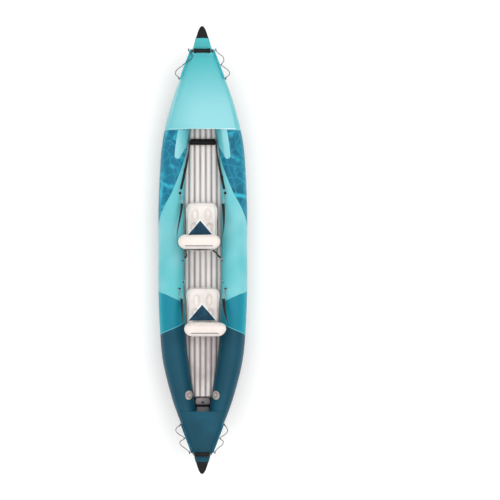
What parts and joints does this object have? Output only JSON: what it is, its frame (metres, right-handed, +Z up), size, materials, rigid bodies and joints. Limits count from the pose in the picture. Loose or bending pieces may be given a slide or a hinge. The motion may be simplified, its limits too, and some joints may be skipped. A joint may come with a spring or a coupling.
{
  "type": "inflatable kayak",
  "caption": "Tandem inflatable kayak with side air chambers, an air-mat floor, spray decks, soft seats with tilting backrests, a foot bar, carry handles and slide-in fins.",
  "frame": {"origin": "middle of the kayak's footprint, at the height of the fin tips", "axes": "+X towards the bow, +Y to port, +Z up"},
  "size_m": [4.1196, 0.8288, 0.7545],
  "materials": {
    "hull_fabric": "coated fabric, semi-matt",
    "bottom_skin": "coated fabric, matt",
    "tape": "coated tape",
    "bow_fabric": "coated fabric, semi-matt",
    "stern_fabric": "coated fabric, semi-matt",
    "cap_rubber": "moulded, ribbed",
    "strip_rubber": "moulded",
    "patch_fabric": "coated fabric",
    "black_plastic": "moulded",
    "cord": "braided",
    "grip_rubber": "moulded, matt",
    "webbing": "woven",
    "valve_plastic": "moulded",
    "cap_plastic": "moulded",
    "pin_plastic": "moulded",
    "steel": "plated",
    "mat_fabric": "coated fabric, semi-matt",
    "flap_fabric": "coated fabric",
    "seat_fabric": "coated fabric, semi-matt",
    "seat_valve": "moulded",
    "pocket_fabric": "woven",
    "foam": "closed-cell foam",
    "box_plastic": "moulded",
    "stud_plastic": "moulded",
    "fin_plastic": "moulded"
  },
  "bodies": {
    "hull": {"hull_tube_port": "hull_fabric", "hull_tube_starboard": "hull_fabric", "hull_bottom": "bottom_skin", "chine_tapes": "tape", "bow_deck": "bow_fabric", "stern_deck": "stern_fabric", "deck_arms": "bow_fabric", "bow_cap": "cap_rubber", "stern_cap": "cap_rubber", "grab_strips": "strip_rubber", "pad_eyes": "black_plastic", "grab_lines_bow": "cord", "grab_lines_stern": "cord", "bow_handle_patch": "patch_fabric", "stern_handle_patch": "patch_fabric", "bow_handle_web": "webbing", "stern_handle_web": "webbing", "valve_body_port": "valve_plastic", "valve_body_starboard": "valve_plastic", "valve_spring_port": "steel", "valve_spring_starboard": "steel", "hinge_pins": "steel", "floor_mat": "mat_fabric", "floor_flap": "flap_fabric", "floor_strap": "webbing", "ring_tabs": "webbing", "d_rings": "steel", "snap_hooks": "steel", "seat_base_front": "seat_fabric", "seat_base_rear": "seat_fabric", "base_plugs": "seat_valve", "hinge_web_front": "seat_fabric", "hinge_web_rear": "seat_fabric", "seat_straps_front": "webbing", "seat_straps_rear": "webbing", "fin_box_front": "box_plastic", "fin_box_rear": "box_plastic"},
    "backrest_front": {"backrest_front": "seat_fabric", "rest_plug_front": "seat_valve", "seat_pocket": "pocket_fabric"},
    "backrest_rear": {"backrest_rear": "seat_fabric", "rest_plug_rear": "seat_valve"},
    "foot_bar": {"foot_bar": "foam", "foot_straps": "webbing", "foot_buckles": "black_plastic"},
    "bow_grip": {"bow_handle_grip": "grip_rubber"},
    "stern_grip": {"stern_handle_grip": "grip_rubber"},
    "valve_pin_port": {"valve_pin_port": "pin_plastic"},
    "valve_pin_starboard": {"valve_pin_starboard": "pin_plastic"},
    "valve_cap_port": {"valve_cap_port": "cap_plastic"},
    "valve_cap_starboard": {"valve_cap_starboard": "cap_plastic"},
    "gate_front_port": {"gate_front_port": "steel"},
    "gate_front_starboard": {"gate_front_starboard": "steel"},
    "gate_rear_port": {"gate_rear_port": "steel"},
    "gate_rear_starboard": {"gate_rear_starboard": "steel"},
    "floor_plug": {"floor_plug": "black_plastic"},
    "fin_front": {"fin_front": "fin_plastic", "fin_stud_front": "stud_plastic"},
    "fin_rear": {"fin_rear": "fin_plastic", "fin_stud_rear": "stud_plastic"}
  },
  "joints": [
    {"name": "backrest_front_tilt", "type": "hinge", "parent": "hull", "child": "backrest_front", "pos_m": [0.082, 0.013, 0.3705], "axis": [0, 1, 0], "range_deg": [-12, 55], "deforming": ["seat_straps_front", "hinge_web_front"]},
    {"name": "backrest_rear_tilt", "type": "hinge", "parent": "hull", "child": "backrest_rear", "pos_m": [-0.716, -0.014, 0.37565], "axis": [0, 1, 0], "range_deg": [-12, 55], "deforming": ["seat_straps_rear", "hinge_web_rear"]},
    {"name": "foot_bar_swing", "type": "hinge", "parent": "hull", "child": "foot_bar", "pos_m": [0.559, 0, 0.42248], "axis": [0, -1, 0], "range_deg": [0, 60]},
    {"name": "bow_grip_spin", "type": "hinge", "parent": "hull", "child": "bow_grip", "pos_m": [1.83, 0, 0.615], "axis": [0, 1, 0], "continuous": true},
    {"name": "stern_grip_spin", "type": "hinge", "parent": "hull", "child": "stern_grip", "pos_m": [-1.876, 0, 0.62158], "axis": [0, 1, 0], "continuous": true},
    {"name": "valve_pin_port_push", "type": "slide", "parent": "hull", "child": "valve_pin_port", "axis": [-0.2252, 0.6742, -0.7034], "range_m": [0, 0.006], "stiffness_N_per_m": 200, "springref_m": -0.001, "deforming": ["valve_spring_port"]},
    {"name": "valve_cap_port_open", "type": "hinge", "parent": "hull", "child": "valve_cap_port", "pos_m": [-1.33452, 0.147, 0.50989], "axis": [-0.9524, 0, 0.3049], "range_deg": [0, 120]},
    {"name": "gate_front_port_press", "type": "hinge", "parent": "hull", "child": "gate_front_port", "pos_m": [0.47566, 0.19627, 0.42927], "axis": [-0.0235, 0.7338, 0.679], "range_deg": [0, 20], "stiffness_Nm_per_rad": 0.02, "springref_deg": -11.46},
    {"name": "gate_rear_port_press", "type": "hinge", "parent": "hull", "child": "gate_rear_port", "pos_m": [-0.40552, 0.20015, 0.4309], "axis": [0.0105, 0.729, 0.6845], "range_deg": [0, 20], "stiffness_Nm_per_rad": 0.02, "springref_deg": -11.46},
    {"name": "valve_pin_starboard_push", "type": "slide", "parent": "hull", "child": "valve_pin_starboard", "axis": [-0.2252, -0.6742, -0.7034], "range_m": [0, 0.006], "stiffness_N_per_m": 200, "springref_m": -0.001, "deforming": ["valve_spring_starboard"]},
    {"name": "valve_cap_starboard_open", "type": "hinge", "parent": "hull", "child": "valve_cap_starboard", "pos_m": [-1.33452, -0.147, 0.50989], "axis": [0.9524, 0, -0.3049], "range_deg": [0, 120]},
    {"name": "gate_front_starboard_press", "type": "hinge", "parent": "hull", "child": "gate_front_starboard", "pos_m": [0.47566, -0.19627, 0.42927], "axis": [0.0235, 0.7338, -0.679], "range_deg": [0, 20], "stiffness_Nm_per_rad": 0.02, "springref_deg": -11.46},
    {"name": "gate_rear_starboard_press", "type": "hinge", "parent": "hull", "child": "gate_rear_starboard", "pos_m": [-0.40552, -0.20015, 0.4309], "axis": [-0.0105, 0.729, -0.6845], "range_deg": [0, 20], "stiffness_Nm_per_rad": 0.02, "springref_deg": -11.46},
    {"name": "floor_plug_pull", "type": "slide", "parent": "hull", "child": "floor_plug", "axis": [0, 0, 1], "range_m": [0, 0.02]},
    {"name": "fin_front_slide", "type": "slide", "parent": "hull", "child": "fin_front", "axis": [-1, 0, 0], "range_m": [0, 0.175]},
    {"name": "fin_rear_slide", "type": "slide", "parent": "hull", "child": "fin_rear", "axis": [-1, 0, 0], "range_m": [0, 0.175]}
  ]
}
